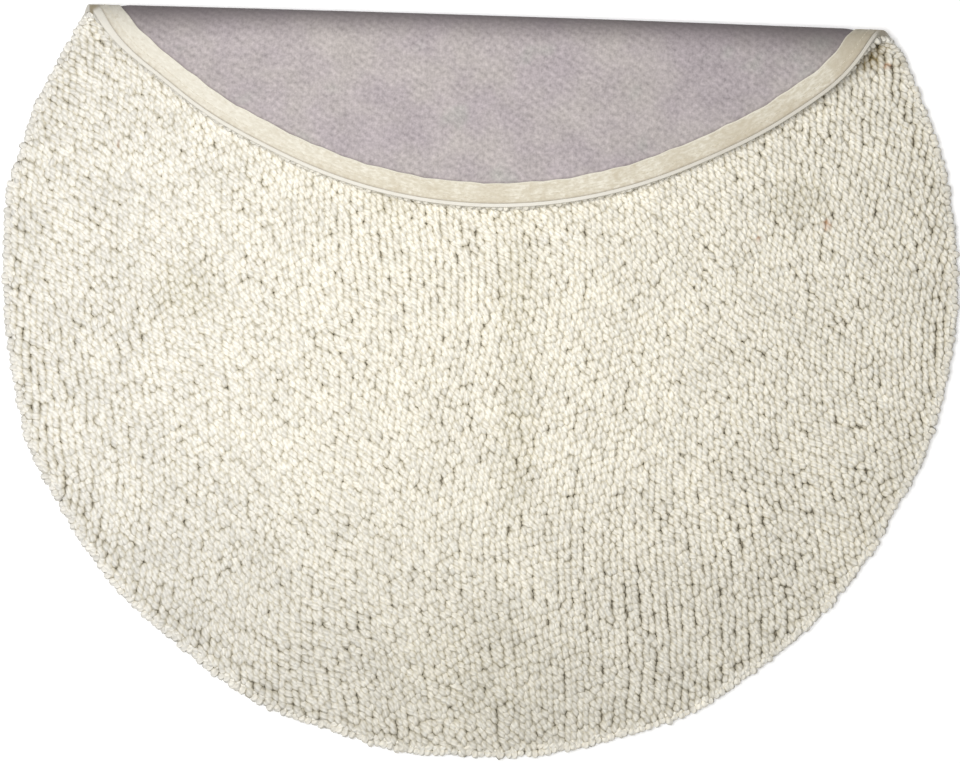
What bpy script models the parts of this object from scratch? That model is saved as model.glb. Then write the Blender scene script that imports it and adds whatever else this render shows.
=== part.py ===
"""Round loop-pile rug, lying on the floor with one side folded over onto its own pile.

Metres, +Z up, floor at Z = 0. The origin is the centre of the round rug, on the floor. +X runs along
the fold and +Y points at it. Every piece is first made flat, as it is cut and sewn: u runs along X, v along
the cloth towards the fold, and w up from the underside through the rug's thickness. One function then
folds them all, so the layers stay parallel through the bend.
"""

import math
from collections import namedtuple

import bmesh
import bpy

# The rug as it is cut and sewn
PILE_RADIUS = 0.600
RUG_THICKNESS = 0.0145
LAYER_GAP = 0.0003
BACKING_THICKNESS = 0.0015
BACKING_UNDER_TAPE = 0.014
TAPE_WIDTH = 0.0253
TAPE_THICKNESS = 0.0012
BINDING_RADIUS = 0.595
BINDING_LIP = 0.0036
BINDING_THICKNESS = 0.0012
BINDING_HEIGHT = 0.0095
BINDING_CORNER = 0.0007
SEAM_GAP = 0.0004
PILE_WALL_GAP = 0.0008
PILE_ROUNDING = 0.0015
PILE_SIDE = 0.0013
SHOULDER_DROP = 0.0007
SHOULDER_IN = 0.0018
SHOULDER_RUN = 0.006
STEP_UP_RUN = 0.012
SECTORS = 90

# The fold: half an ellipse, then a slide down to where the folded side lies on the pile
FOLD_LINE_Y = 0.3312
BEND_REACH = 0.030
BEND_RISE = 0.0235
BEND_STEPS = 16
FALL_DEG = 8.0
LANDING_RADIUS = 0.25
LANDING_STEPS = 2
FLAP_CLEARANCE = 0.0025
FLAP_HEIGHT = 2 * RUG_THICKNESS + FLAP_CLEARANCE
EASE = 0.020
FOLD_BOW = 0.002
FOLD_HALF_WIDTH = 0.48
BOW_RUN = 0.15

# Where the flat pieces are scored so that they can bend, swell and bow
SCORE_REACH = 1e-6
GRID_U = (-0.48, -0.36, -0.24, -0.12, 0.0, 0.12, 0.24, 0.36, 0.48)
GRID_V = (-0.45, -0.30, -0.15, 0.0, 0.15)

# Soft swells of the pile's surface, as waves in radians a metre
PILE_UNEVENNESS = 0.0006
Swell = namedtuple("Swell", "along_u along_v start share")
SWELLS = (
    Swell(11, 4, 0.0, 0.40),
    Swell(-5, 13, 0.8, 0.35),
    Swell(24, -9, 1.9, 0.25),
)

# Bulges and flats of the rim: where, how far out, and how wide. The tape and the edge band follow
# them and keep their widths.
Bulge = namedtuple("Bulge", "at_deg out width_deg")
RIM_BULGES = (
    Bulge(31, 0.0030, 5),
    Bulge(43, 0.0130, 7),
    Bulge(53, 0.0055, 7),
    Bulge(127, 0.0060, 7),
    Bulge(139, 0.0150, 7),
    Bulge(-28, -0.0045, 4),
    Bulge(-62, 0.0045, 5),
    Bulge(-90, -0.0035, 4),
    Bulge(-106, -0.0045, 5),
    Bulge(-128, -0.0050, 7),
    Bulge(-158, 0.0065, 4),
    Bulge(159, 0.0025, 4),
    Bulge(170, 0.0060, 5),
)

# How high the folded side stands above its lowest lie, along the fold
Lift = namedtuple("Lift", "at_x up")
FLAP_LIFT = (
    Lift(-0.60, 0.0018),
    Lift(-0.48, 0.0014),
    Lift(-0.36, 0.0002),
    Lift(-0.24, 0.0000),
    Lift(-0.12, 0.0012),
    Lift(0.00, 0.0002),
    Lift(0.12, 0.0015),
    Lift(0.24, 0.0006),
    Lift(0.36, 0.0000),
    Lift(0.48, 0.0016),
    Lift(0.60, 0.0020),
)

TAPE_OUTER = BINDING_RADIUS - BINDING_LIP - SEAM_GAP
TAPE_INNER = TAPE_OUTER - TAPE_WIDTH
STEP_INNER = TAPE_INNER - STEP_UP_RUN
BACKING_LOW = TAPE_THICKNESS + LAYER_GAP
PILE_WALL_RADIUS = BINDING_RADIUS - BINDING_THICKNESS - PILE_WALL_GAP

# One point of the folded section: its distance along the cloth, its place and its mitre
Station = namedtuple("Station", "v y z mitre_y mitre_z")


def section_points():
    """The underside's line in Y and Z, from the near rim over the fold to the flap's tip."""
    centre_y = FOLD_LINE_Y - BEND_REACH
    points = [(-2 * PILE_RADIUS, 0.0), (centre_y - EASE, 0.0)]
    fall = math.radians(FALL_DEG)
    for step in range(BEND_STEPS + 1):
        facing = -math.pi / 2 + (math.pi + fall) * step / BEND_STEPS
        out = BEND_REACH * math.cos(facing)
        up = BEND_RISE * math.sin(facing)
        size = math.hypot(out, up)
        points.append((centre_y + BEND_REACH * out / size, BEND_RISE + BEND_RISE * up / size))
    landing_drop = LANDING_RADIUS * (1 - math.cos(fall))
    y, z = points[-1]
    slide = (z - FLAP_HEIGHT - landing_drop) / math.sin(fall)
    y -= slide * math.cos(fall)
    points.append((y, FLAP_HEIGHT + landing_drop))
    for step in range(1, LANDING_STEPS + 1):
        left = fall * (1 - step / LANDING_STEPS)
        run = LANDING_RADIUS * (math.sin(fall) - math.sin(left))
        points.append((y - run, FLAP_HEIGHT + LANDING_RADIUS * (1 - math.cos(left))))
    points.append((-PILE_RADIUS, FLAP_HEIGHT))
    return points


def stations():
    """The section's points with their distance along the cloth and the mitre that keeps layers parallel."""
    points = section_points()
    normals = []
    for (y0, z0), (y1, z1) in zip(points, points[1:]):
        long = math.hypot(y1 - y0, z1 - z0)
        normals.append(((z0 - z1) / long, (y1 - y0) / long))
    found = []
    v = points[0][0]
    for i, (y, z) in enumerate(points):
        before = normals[max(i - 1, 0)]
        after = normals[min(i, len(normals) - 1)]
        if i:
            v += math.hypot(y - points[i - 1][0], z - points[i - 1][1])
        shrink = 1 + before[0] * after[0] + before[1] * after[1]
        mitre_y = (before[0] + after[0]) / shrink
        mitre_z = (before[1] + after[1]) / shrink
        found.append(Station(v, y, z, mitre_y, mitre_z))
    return found


STATIONS = stations()
BEND_START = STATIONS[2].v
BEND_END = STATIONS[2 + BEND_STEPS].v


def ramp(value, start, end):
    """0 before start, 1 after end, and a straight rise between them."""
    return min(max((value - start) / (end - start), 0.0), 1.0)


def between(low, high, share):
    return low + (high - low) * share


def flap_lift(u):
    """How far the folded side stands up at this place along the fold."""
    for left, right in zip(FLAP_LIFT, FLAP_LIFT[1:]):
        if u <= right.at_x:
            return between(left.up, right.up, ramp(u, left.at_x, right.at_x))
    return FLAP_LIFT[-1].up


def fold(u, v, w):
    """Where a point of the flat rug lies once its far side is folded over."""
    for start, end in zip(STATIONS, STATIONS[1:]):
        if v <= end.v:
            break
    share = ramp(v, start.v, end.v)
    y = between(start.y, end.y, share) + w * between(start.mitre_y, end.mitre_y, share)
    z = between(start.z, end.z, share) + w * between(start.mitre_z, end.mitre_z, share)
    bow = FOLD_BOW * (u / FOLD_HALF_WIDTH) ** 2
    y -= bow * ramp(v, BEND_START - BOW_RUN, BEND_START)
    z += flap_lift(u) * ramp(v, BEND_START, BEND_END)
    return u, y, z


def rim_out(angle_deg):
    """How far the rim stands out of the true circle."""
    out = 0.0
    for bulge in RIM_BULGES:
        away = (angle_deg - bulge.at_deg + 180) % 360 - 180
        out += bulge.out * math.exp(-((away / bulge.width_deg) ** 2))
    return out


def pile_rise(u, v):
    """The soft swells of the pile's surface."""
    rise = 0.0
    for swell in SWELLS:
        rise += swell.share * math.sin(swell.along_u * u + swell.along_v * v + swell.start)
    return PILE_UNEVENNESS * rise


def turn(profile, closed):
    """A profile of radius and height turned once round the rug's centre, its open ends capped."""
    mesh = bmesh.new()
    verts = [mesh.verts.new((radius, 0.0, w)) for radius, w in profile]
    edges = [mesh.edges.new(pair) for pair in zip(verts, verts[1:])]
    if closed:
        edges.append(mesh.edges.new((verts[-1], verts[0])))
    bmesh.ops.spin(
        mesh,
        geom=verts + edges,
        cent=(0, 0, 0),
        axis=(0, 0, 1),
        angle=math.tau,
        steps=SECTORS,
        use_merge=True,
    )
    rims = [edge for edge in mesh.edges if edge.is_boundary]
    if rims:
        bmesh.ops.holes_fill(mesh, edges=rims, sides=0)
    bmesh.ops.recalc_face_normals(mesh, faces=mesh.faces)
    return mesh


def draw_rim(mesh):
    """Gives the turned piece the rug's uneven outline."""
    for vert in mesh.verts:
        u, v, w = vert.co
        stretch = 1 + rim_out(math.degrees(math.atan2(v, u))) / math.hypot(u, v)
        vert.co = (u * stretch, v * stretch, w)


def score(mesh, lines_u, lines_v):
    """Cuts the faces along straight lines of the flat rug, so that they can bend there."""
    cuts = [((u, 0, 0), (1, 0, 0)) for u in lines_u] + [((0, v, 0), (0, 1, 0)) for v in lines_v]
    for place, normal in cuts:
        bmesh.ops.bisect_plane(
            mesh,
            geom=[*mesh.verts, *mesh.edges, *mesh.faces],
            dist=SCORE_REACH,
            plane_co=place,
            plane_no=normal,
        )
    bmesh.ops.triangulate(mesh, faces=mesh.faces)


def lay(mesh):
    """Gives the scored piece its uneven surface and folds it."""
    for vert in mesh.verts:
        u, v, w = vert.co
        if w > RUG_THICKNESS - LAYER_GAP:
            w += pile_rise(u, v)
        vert.co = fold(u, v, w)


def fabric(name, color, roughness):
    """A matte cloth material."""
    material = bpy.data.materials.new(name)
    material.use_nodes = True
    shader = material.node_tree.nodes["Principled BSDF"]
    shader.inputs["Base Color"].default_value = (*color, 1.0)
    shader.inputs["Roughness"].default_value = roughness
    shader.inputs["Metallic"].default_value = 0.0
    return material


def make_piece(name, profile, closed, lines_v, material, collection):
    """Turns, scores and folds one piece, and puts it in the collection as its own object."""
    mesh = turn(profile, closed)
    draw_rim(mesh)
    score(mesh, GRID_U, lines_v)
    lay(mesh)
    data = bpy.data.meshes.new(name)
    mesh.to_mesh(data)
    mesh.free()
    data.materials.append(material)
    data.shade_smooth()
    data.set_sharp_from_angle(angle=math.radians(40))
    piece = bpy.data.objects.new(name, data)
    collection.objects.link(piece)
    return piece


def pile_profile():
    """Ground cloth over the backing and the tape, recessed inside the edge binding, then the loops' rim."""
    low = BACKING_THICKNESS + LAYER_GAP
    over_tape = BACKING_LOW + low
    ledge = BINDING_HEIGHT + LAYER_GAP
    return [
        (STEP_INNER, low),
        (TAPE_INNER, over_tape),
        (PILE_WALL_RADIUS, over_tape),
        (PILE_WALL_RADIUS, ledge),
        (PILE_RADIUS - PILE_ROUNDING, ledge),
        (PILE_RADIUS, ledge + PILE_ROUNDING),
        (PILE_RADIUS, ledge + PILE_ROUNDING + PILE_SIDE),
        (PILE_RADIUS - SHOULDER_IN, RUG_THICKNESS - SHOULDER_DROP),
        (PILE_RADIUS - SHOULDER_RUN, RUG_THICKNESS),
        (STEP_INNER, RUG_THICKNESS),
    ]


def backing_profile():
    """Flat on the floor, then stepped up over the tape, where it ends."""
    radius = TAPE_INNER + BACKING_UNDER_TAPE
    return [
        (STEP_INNER, 0.0),
        (TAPE_INNER, BACKING_LOW),
        (radius, BACKING_LOW),
        (radius, BACKING_LOW + BACKING_THICKNESS),
        (TAPE_INNER, BACKING_LOW + BACKING_THICKNESS),
        (STEP_INNER, BACKING_THICKNESS),
    ]


def tape_profile():
    return [
        (TAPE_INNER, 0.0),
        (TAPE_OUTER, 0.0),
        (TAPE_OUTER, TAPE_THICKNESS),
        (TAPE_INNER, TAPE_THICKNESS),
    ]


def binding_profile():
    """An L: a lip beside the tape on the underside, and a wall up the rim's edge."""
    lip = BINDING_RADIUS - BINDING_LIP
    inside = BINDING_RADIUS - BINDING_THICKNESS
    return [
        (lip, 0.0),
        (BINDING_RADIUS - BINDING_CORNER, 0.0),
        (BINDING_RADIUS, BINDING_CORNER),
        (BINDING_RADIUS, BINDING_HEIGHT),
        (inside, BINDING_HEIGHT),
        (inside, BINDING_THICKNESS),
        (lip, BINDING_THICKNESS),
    ]


def main():
    for old in list(bpy.data.objects):
        bpy.data.objects.remove(old, do_unlink=True)
    collection = bpy.data.collections.new("round_rug")
    bpy.context.scene.collection.children.link(collection)
    bends = [station.v for station in STATIONS[1:-1]]
    ivory = fabric("ivory_loop_pile", (0.80, 0.77, 0.68), 0.95)
    grey = fabric("grey_backing", (0.50, 0.46, 0.47), 0.97)
    cream = fabric("cream_tape", (0.80, 0.74, 0.57), 0.9)
    white = fabric("white_edge", (0.83, 0.84, 0.79), 0.9)
    make_piece("pile_carpet", pile_profile(), False, [*GRID_V, *bends], ivory, collection)
    make_piece("backing_cloth", backing_profile(), False, bends, grey, collection)
    make_piece("binding_tape", tape_profile(), True, bends, cream, collection)
    make_piece("edge_binding", binding_profile(), True, bends, white, collection)


main()
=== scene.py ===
# %% [markdown]
# # A round rug of thick yarn loops, folded over at one side
#
# This lesson dresses one round rug. It lies flat on the floor, and its far side is folded over onto the
# pile, so that both faces show: ivory loops on top, and on the underside a felted grey backing, a
# cream tape sewn round the rim and a narrow white band over the rim's edge.
# The frame holds the rug's plain solids. Each is replaced here by the surface that the real cloth has,
# in the same place and at the same size, in metres.

# %% Open the frame
import math
from collections import namedtuple

import bmesh
import bpy
import numpy as np
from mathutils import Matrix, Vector


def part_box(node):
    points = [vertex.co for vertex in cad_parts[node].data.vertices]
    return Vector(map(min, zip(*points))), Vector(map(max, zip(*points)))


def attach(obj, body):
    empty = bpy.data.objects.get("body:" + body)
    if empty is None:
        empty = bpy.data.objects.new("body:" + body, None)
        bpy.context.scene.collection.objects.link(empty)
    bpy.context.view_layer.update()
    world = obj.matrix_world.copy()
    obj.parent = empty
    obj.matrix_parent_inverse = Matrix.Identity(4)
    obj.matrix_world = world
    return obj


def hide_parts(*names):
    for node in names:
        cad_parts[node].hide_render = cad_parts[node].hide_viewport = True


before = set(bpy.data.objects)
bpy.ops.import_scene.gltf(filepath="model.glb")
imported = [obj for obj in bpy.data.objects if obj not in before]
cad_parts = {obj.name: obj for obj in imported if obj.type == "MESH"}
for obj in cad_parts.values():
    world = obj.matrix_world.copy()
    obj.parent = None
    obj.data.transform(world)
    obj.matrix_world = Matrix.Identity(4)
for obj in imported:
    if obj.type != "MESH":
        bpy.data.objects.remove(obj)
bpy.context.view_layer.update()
print("the frame's nodes:", ", ".join(sorted(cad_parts)))

# %% [markdown]
# ## The rug's sizes
#
# A maker thinks of the rug as it is cut: a flat disc, built up in layers from the underside. Here u runs
# along the fold, v across it and w up through the layers. These are the sizes of the solids, so that
# the finer pieces lie where those do. Only the edge band is 1.2 mm wider here, as the real one looks.

# %% Sizes of the flat rug
PILE_RADIUS = 0.600
RUG_THICKNESS = 0.0145
LAYER_GAP = 0.0003
SEAM_GAP = 0.0001
BACKING_THICKNESS = 0.0015
BACKING_UNDER_TAPE = 0.014
STEP_UP_RUN = 0.012
TAPE_WIDTH = 0.0253
TAPE_THICKNESS = 0.0012
BAND_RADIUS = 0.5962
BAND_LIP = 0.0048
BAND_THICKNESS = 0.0012
BAND_HEIGHT = 0.0095
GROUND_THICKNESS = 0.0022
GROUND_RADIUS = 0.5930

TAPE_OUTER = BAND_RADIUS - BAND_LIP - SEAM_GAP
TAPE_INNER = TAPE_OUTER - TAPE_WIDTH
STEP_INNER = TAPE_INNER - STEP_UP_RUN
BACKING_LOW = TAPE_THICKNESS + LAYER_GAP
GROUND_LOW = BACKING_THICKNESS + LAYER_GAP
pile_low, pile_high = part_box("pile_carpet")
print(f"pile {2 * PILE_RADIUS:.3f} m across, its solid {pile_high.x - pile_low.x:.3f} m")

# %% [markdown]
# ## The fold
#
# Thick carpet doesn't crease. It turns over in a bend that is half an ellipse in section, comes down
# at a slight slope and settles on the pile. The underside's line is worked out once, as its distance
# along the cloth, its place and the way it faces, and every point of the rug is then carried along it.
# A simulation could find such a bend too, but this one has to lie where the solid lies.

# %% The section across the fold
FOLD_LINE_Y = 0.3312
BEND_REACH = 0.030
BEND_RISE = 0.0235
BEND_POINTS = 97
FALL = math.radians(8.0)
LANDING_RADIUS = 0.25
LANDING_POINTS = 25
FLAP_AIR = 0.0025
FLAP_HEIGHT = 2 * RUG_THICKNESS + FLAP_AIR
FOLD_BOW = 0.002
FOLD_HALF_WIDTH = 0.48
BOW_RUN = 0.15
Section = namedtuple("Section", "v y z facing")


def fold_section():
    """The underside's line from the near rim, round the bend and along the folded side."""
    facing = np.linspace(-math.pi / 2, math.pi / 2 + FALL, BEND_POINTS)
    size = np.hypot(BEND_REACH * np.cos(facing), BEND_RISE * np.sin(facing))
    bend_y = FOLD_LINE_Y - BEND_REACH + BEND_REACH**2 * np.cos(facing) / size
    bend_z = BEND_RISE + BEND_RISE**2 * np.sin(facing) / size
    left = FALL * (1 - np.linspace(0, 1, LANDING_POINTS))
    drop = LANDING_RADIUS * (1 - math.cos(FALL))
    slide = (bend_z[-1] - FLAP_HEIGHT - drop) / math.tan(FALL)
    landing_y = bend_y[-1] - slide - LANDING_RADIUS * (math.sin(FALL) - np.sin(left))
    landing_z = FLAP_HEIGHT + LANDING_RADIUS * (1 - np.cos(left))
    y = np.concatenate([[-2 * PILE_RADIUS], bend_y, landing_y, [-PILE_RADIUS]])
    z = np.concatenate([[0.0], bend_z, landing_z, [FLAP_HEIGHT]])
    turned_to = np.concatenate([[-math.pi / 2], facing, math.pi / 2 + left, [math.pi / 2]])
    along = np.concatenate([[0.0], np.cumsum(np.hypot(np.diff(y), np.diff(z)))])
    return Section(along + y[0], y, z, turned_to)


SECTION = fold_section()
BEND_START = SECTION.v[1]
BEND_END = SECTION.v[BEND_POINTS]
BEND_END_Y = SECTION.y[BEND_POINTS]
print(f"the bend takes {1000 * (BEND_END - BEND_START):.0f} mm of cloth")

# %% [markdown]
# ## An uneven outline and a lie that isn't flat
#
# A hand-bound rug is never a true circle, and the folded side doesn't lie evenly on the loops. Two short
# tables say where the rim bulges and how high the folded side stands along the fold.

# %% Unevenness, and the function that lays every point in its place
RIM_STILL = 0.44
RIM_FREE = 0.55
LEAST_RADIUS = 1e-6
Bulge = namedtuple("Bulge", "at_deg out width_deg")
RIM_BULGES = (
    Bulge(31, 0.0030, 5),
    Bulge(43, 0.0130, 7),
    Bulge(53, 0.0055, 7),
    Bulge(127, 0.0060, 7),
    Bulge(139, 0.0150, 7),
    Bulge(-28, -0.0045, 4),
    Bulge(-62, 0.0045, 5),
    Bulge(-90, -0.0035, 4),
    Bulge(-106, -0.0045, 5),
    Bulge(-128, -0.0050, 7),
    Bulge(-158, 0.0065, 4),
    Bulge(159, 0.0025, 4),
    Bulge(170, 0.0060, 5),
)
LIFT_X = (-0.60, -0.48, -0.36, -0.24, -0.12, 0.00, 0.12, 0.24, 0.36, 0.48, 0.60)
LIFT_UP = (0.0018, 0.0014, 0.0002, 0.0, 0.0012, 0.0002, 0.0015, 0.0006, 0.0, 0.0016, 0.0020)


def ramp(value, start, end):
    return np.clip((value - start) / (end - start), 0.0, 1.0)


def soft_step(value, start, end):
    share = ramp(value, start, end)
    return share * share * (3 - 2 * share)


def rim_out(u, v):
    """How far the rim stands out of the true circle, in the direction of this point."""
    angle = np.degrees(np.arctan2(v, u))
    out = np.zeros_like(angle)
    for bulge in RIM_BULGES:
        away = (angle - bulge.at_deg + 180) % 360 - 180
        out += bulge.out * np.exp(-((away / bulge.width_deg) ** 2))
    return out


def lay(flat):
    """Where points of the flat round rug lie, in rows of u, v and w."""
    u, v, w = np.asarray(flat, float).T
    radius = np.maximum(np.hypot(u, v), LEAST_RADIUS)
    stretch = 1 + rim_out(u, v) * ramp(radius, RIM_STILL, RIM_FREE) / radius
    u, v = u * stretch, v * stretch
    facing = np.interp(v, SECTION.v, SECTION.facing)
    y = np.interp(v, SECTION.v, SECTION.y) - w * np.cos(facing)
    z = np.interp(v, SECTION.v, SECTION.z) - w * np.sin(facing)
    y -= FOLD_BOW * (u / FOLD_HALF_WIDTH) ** 2 * ramp(v, BEND_START - BOW_RUN, BEND_START)
    z += np.interp(u, LIFT_X, LIFT_UP) * ramp(v, BEND_START, BEND_END)
    return np.column_stack([u, y, z])


# %% [markdown]
# ## Shader maths in plain Python
#
# A material is a graph of nodes. A small class wraps one socket, so that sums on it read like sums on
# numbers, and one method adds any other node: its settings first, then what goes into its sockets.

# %% A wire, and a finish that is built from wires
Grain = namedtuple("Grain", "scale detail roughness")
SPOT_CORE = 0.3


class Wire:
    """A socket of a material's graph that Python's operators work on."""

    def __init__(self, finish, socket):
        self.finish = finish
        self.socket = socket

    def __add__(self, other):
        return self.finish.maths("ADD", self, other)

    def __radd__(self, other):
        return self.finish.maths("ADD", other, self)

    def __sub__(self, other):
        return self.finish.maths("SUBTRACT", self, other)

    def __rsub__(self, other):
        return self.finish.maths("SUBTRACT", other, self)

    def __mul__(self, other):
        return self.finish.maths("MULTIPLY", self, other)

    def __rmul__(self, other):
        return self.finish.maths("MULTIPLY", other, self)


class Finish:
    """A cloth's material. Fixed numbers go straight onto the shader's own sockets."""

    def __init__(self, name, **fixed):
        self.material = bpy.data.materials.new(name)
        self.material.use_nodes = True
        self.tree = self.material.node_tree
        self.shader = self.tree.nodes["Principled BSDF"]
        for socket, value in fixed.items():
            self.shader.inputs[socket.replace("_", " ")].default_value = value

    def node(self, kind, settings, sockets, out=0):
        """Adds a node of this type and gives the wire that leaves it."""
        made = self.tree.nodes.new(kind)
        for setting, value in settings.items():
            setattr(made, setting, value)
        for key, value in sockets.items():
            self.feed(self.socket(made.inputs, key), value)
        return Wire(self, self.socket(made.outputs, out))

    def socket(self, sockets, key):
        """A socket by its number, or by its identifier or name."""
        if isinstance(key, int):
            return sockets[key]
        return next(found for found in sockets if key in (found.identifier, found.name))

    def feed(self, socket, value):
        """Links a wire to a socket, or sets the socket's own value."""
        if isinstance(value, Wire):
            self.tree.links.new(value.socket, socket)
        elif socket.type == "RGBA":
            socket.default_value = (*value, 1.0)
        else:
            socket.default_value = value

    def maths(self, operation, a, b):
        return self.node("ShaderNodeMath", {"operation": operation}, {0: a, 1: b})

    def attribute(self, name, out="Vector"):
        return self.node("ShaderNodeAttribute", {"attribute_name": name}, {}, out)

    def scaled(self, vector, by):
        """A vector stretched by three numbers."""
        return self.node("ShaderNodeVectorMath", {"operation": "MULTIPLY"}, {0: vector, 1: by})

    def part(self, vector, axis):
        """One of a vector's three numbers."""
        return self.node("ShaderNodeSeparateXYZ", {}, {0: vector}, axis)

    def length(self, vector):
        return self.node("ShaderNodeVectorMath", {"operation": "LENGTH"}, {0: vector}, "Value")

    def sine(self, angle):
        return self.node("ShaderNodeMath", {"operation": "SINE"}, {0: angle})

    def shaded(self, colour, by):
        """A colour made darker or lighter by a number."""
        return self.node("ShaderNodeVectorMath", {"operation": "SCALE"}, {0: colour, "Scale": by})

    def noise(self, vector, grain):
        """Soft random unevenness, as coarse as the grain says."""
        sockets = {"Vector": vector, "Scale": grain.scale}
        sockets |= {"Detail": grain.detail, "Roughness": grain.roughness}
        return self.node("ShaderNodeTexNoise", {}, sockets)

    def step(self, value, start, end):
        """0 before start, 1 after end, and a soft rise between them."""
        sockets = {"Value": value, "From Min": start, "From Max": end}
        return self.node("ShaderNodeMapRange", {"interpolation_type": "SMOOTHSTEP"}, sockets)

    def mix(self, share, a, b):
        """A colour that goes from a to b as the share goes from 0 to 1."""
        sockets = {"Factor_Float": share, "A_Color": a, "B_Color": b}
        return self.node("ShaderNodeMix", {"data_type": "RGBA"}, sockets, "Result_Color")

    def spot(self, place, at_u, at_v, across, along):
        """1 at a place on the flat rug, falling to 0 at these distances from it."""
        shrunk = self.scaled(place, (1 / across, 1 / along, 0.0))
        centre = {0: shrunk, 1: (at_u / across, at_v / along, 0.0)}
        away = self.node("ShaderNodeVectorMath", {"operation": "DISTANCE"}, centre, "Value")
        return 1 - self.step(away, SPOT_CORE, 1.0)

    def relief(self, height, depth):
        """Turns a height from 0 to 1 into the surface's relief, this deep in metres."""
        bump = self.node("ShaderNodeBump", {}, {"Height": height, "Distance": depth}, "Normal")
        self.feed(self.shader.inputs["Normal"], bump)

    def colour(self, wire):
        self.feed(self.shader.inputs["Base Color"], wire)


# %% [markdown]
# ## Cloth layers
#
# Each layer of the rug is a turned ring or disc. Its half section is spun round the rug's centre while
# it is still flat, then cut along straight lines so that it can bend there, and last laid in place. The
# flat place of each point is kept on the mesh, because a weave or a stain follows the cloth, not space.

# %% Turn, cut and lay a layer
SECTORS = 240
FIRST_CUT = -0.57
LAST_CUT = 0.575
CUT_SPACING = 0.03
BEND_CUTS = 40
CUT_REACH = 1e-6
SHARP_EDGE = math.radians(50)


def cut_planes():
    """Where the flat layers are cut: wide apart where they lie flat, close together in the bend."""
    across = np.arange(FIRST_CUT, LAST_CUT, CUT_SPACING)
    near = np.arange(FIRST_CUT, BEND_START - CUT_SPACING / 2, CUT_SPACING)
    bend = np.linspace(BEND_START, BEND_END, BEND_CUTS)
    far = np.arange(BEND_END + CUT_SPACING / 2, PILE_RADIUS, CUT_SPACING / 2)
    planes = [((u, 0, 0), (1, 0, 0)) for u in across]
    return planes + [((0, v, 0), (0, 1, 0)) for v in (*near, *bend, *far)]


def spin(profile, closed):
    """A half section of radius and height, spun once round the rug's centre."""
    mesh = bmesh.new()
    verts = [mesh.verts.new((radius, 0.0, w)) for radius, w in profile]
    edges = [mesh.edges.new(pair) for pair in zip(verts, verts[1:])]
    if closed:
        edges.append(mesh.edges.new((verts[-1], verts[0])))
    bmesh.ops.spin(
        mesh,
        geom=verts + edges,
        cent=(0, 0, 0),
        axis=(0, 0, 1),
        angle=math.tau,
        steps=SECTORS,
        use_merge=True,
    )
    open_rims = [edge for edge in mesh.edges if edge.is_boundary]
    if open_rims:
        bmesh.ops.holes_fill(mesh, edges=open_rims, sides=0)
    bmesh.ops.recalc_face_normals(mesh, faces=mesh.faces)
    return mesh


def keep(data, name, kind, field, values):
    """Stores a value with each of the mesh's points, under this name."""
    kept = data.attributes.new(name, kind, "POINT")
    kept.data.foreach_set(field, np.asarray(values, np.float32).ravel())


total_triangles = {}


def show(name, data, finish):
    """Puts a mesh in the scene as one piece of the rug, with its finish."""
    data.materials.append(finish.material)
    piece = bpy.data.objects.new(name, data)
    bpy.context.scene.collection.objects.link(piece)
    data.calc_loop_triangles()
    total_triangles[name] = len(data.loop_triangles)
    print(f"{name}: {total_triangles[name]} triangles")
    return piece


def layer(name, profile, closed, finish, settle=None):
    """One layer of cloth, spun, cut and laid. settle may first move the flat points a little."""
    mesh = spin(profile, closed)
    for point, normal in cut_planes():
        geometry = [*mesh.verts, *mesh.edges, *mesh.faces]
        bmesh.ops.bisect_plane(mesh, geom=geometry, dist=CUT_REACH, plane_co=point, plane_no=normal)
    data = bpy.data.meshes.new(name)
    mesh.to_mesh(data)
    mesh.free()
    flat = np.zeros(3 * len(data.vertices), np.float32)
    data.vertices.foreach_get("co", flat)
    flat = flat.reshape(-1, 3).astype(float)
    keep(data, "flat_place", "FLOAT_VECTOR", "vector", flat)
    if settle is not None:
        flat = settle(flat)
    data.vertices.foreach_set("co", lay(flat).astype(np.float32).ravel())
    data.shade_smooth()
    data.set_sharp_from_angle(angle=SHARP_EDGE)
    return show(name, data, finish)


# %% [markdown]
# ## Ground cloth
#
# The loops are tufted through a coarse woven cloth. Little of it shows, only a brownish floor deep
# between the loops, so it is a plain sheet with a coarse plain weave. It rises over the tape at the rim.

# %% The ground cloth
GROUND_THREADS = 130.0
GROUND_DARK = (0.42, 0.37, 0.27)
GROUND_LIGHT = (0.60, 0.54, 0.42)
GROUND_WANDER = 0.6
GROUND_RELIEF = 0.0008
STEP_POINTS = 5
STEP_RADII = np.linspace(STEP_INNER, TAPE_INNER, STEP_POINTS)


def steps_up(radius):
    """How far the layers above the tape rise where they pass over its inner edge."""
    return BACKING_LOW * soft_step(radius, STEP_INNER, TAPE_INNER)


def ground_finish():
    finish = Finish("tufting_ground", Roughness=0.95, Metallic=0.0)
    place = finish.attribute("flat_place")
    weave = 1.0
    for direction in ("X", "Y"):
        bands = {"wave_type": "BANDS", "bands_direction": direction}
        sockets = {"Vector": place, "Scale": GROUND_THREADS, "Distortion": GROUND_WANDER}
        weave = weave * finish.node("ShaderNodeTexWave", bands, sockets, "Fac")
    finish.colour(finish.mix(weave, GROUND_DARK, GROUND_LIGHT))
    finish.relief(weave, GROUND_RELIEF)
    return finish


ground_under = [(radius, GROUND_LOW + steps_up(radius)) for radius in STEP_RADII]
ground_over = [(radius, w + GROUND_THICKNESS) for radius, w in reversed(ground_under)]
ground_lip = GROUND_LOW + BACKING_LOW
ground_rim = [(GROUND_RADIUS, ground_lip), (GROUND_RADIUS, ground_lip + GROUND_THICKNESS)]
ground_section = ground_under + ground_rim + ground_over
ground_cloth = layer("ground_cloth", ground_section, False, ground_finish())

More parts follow.
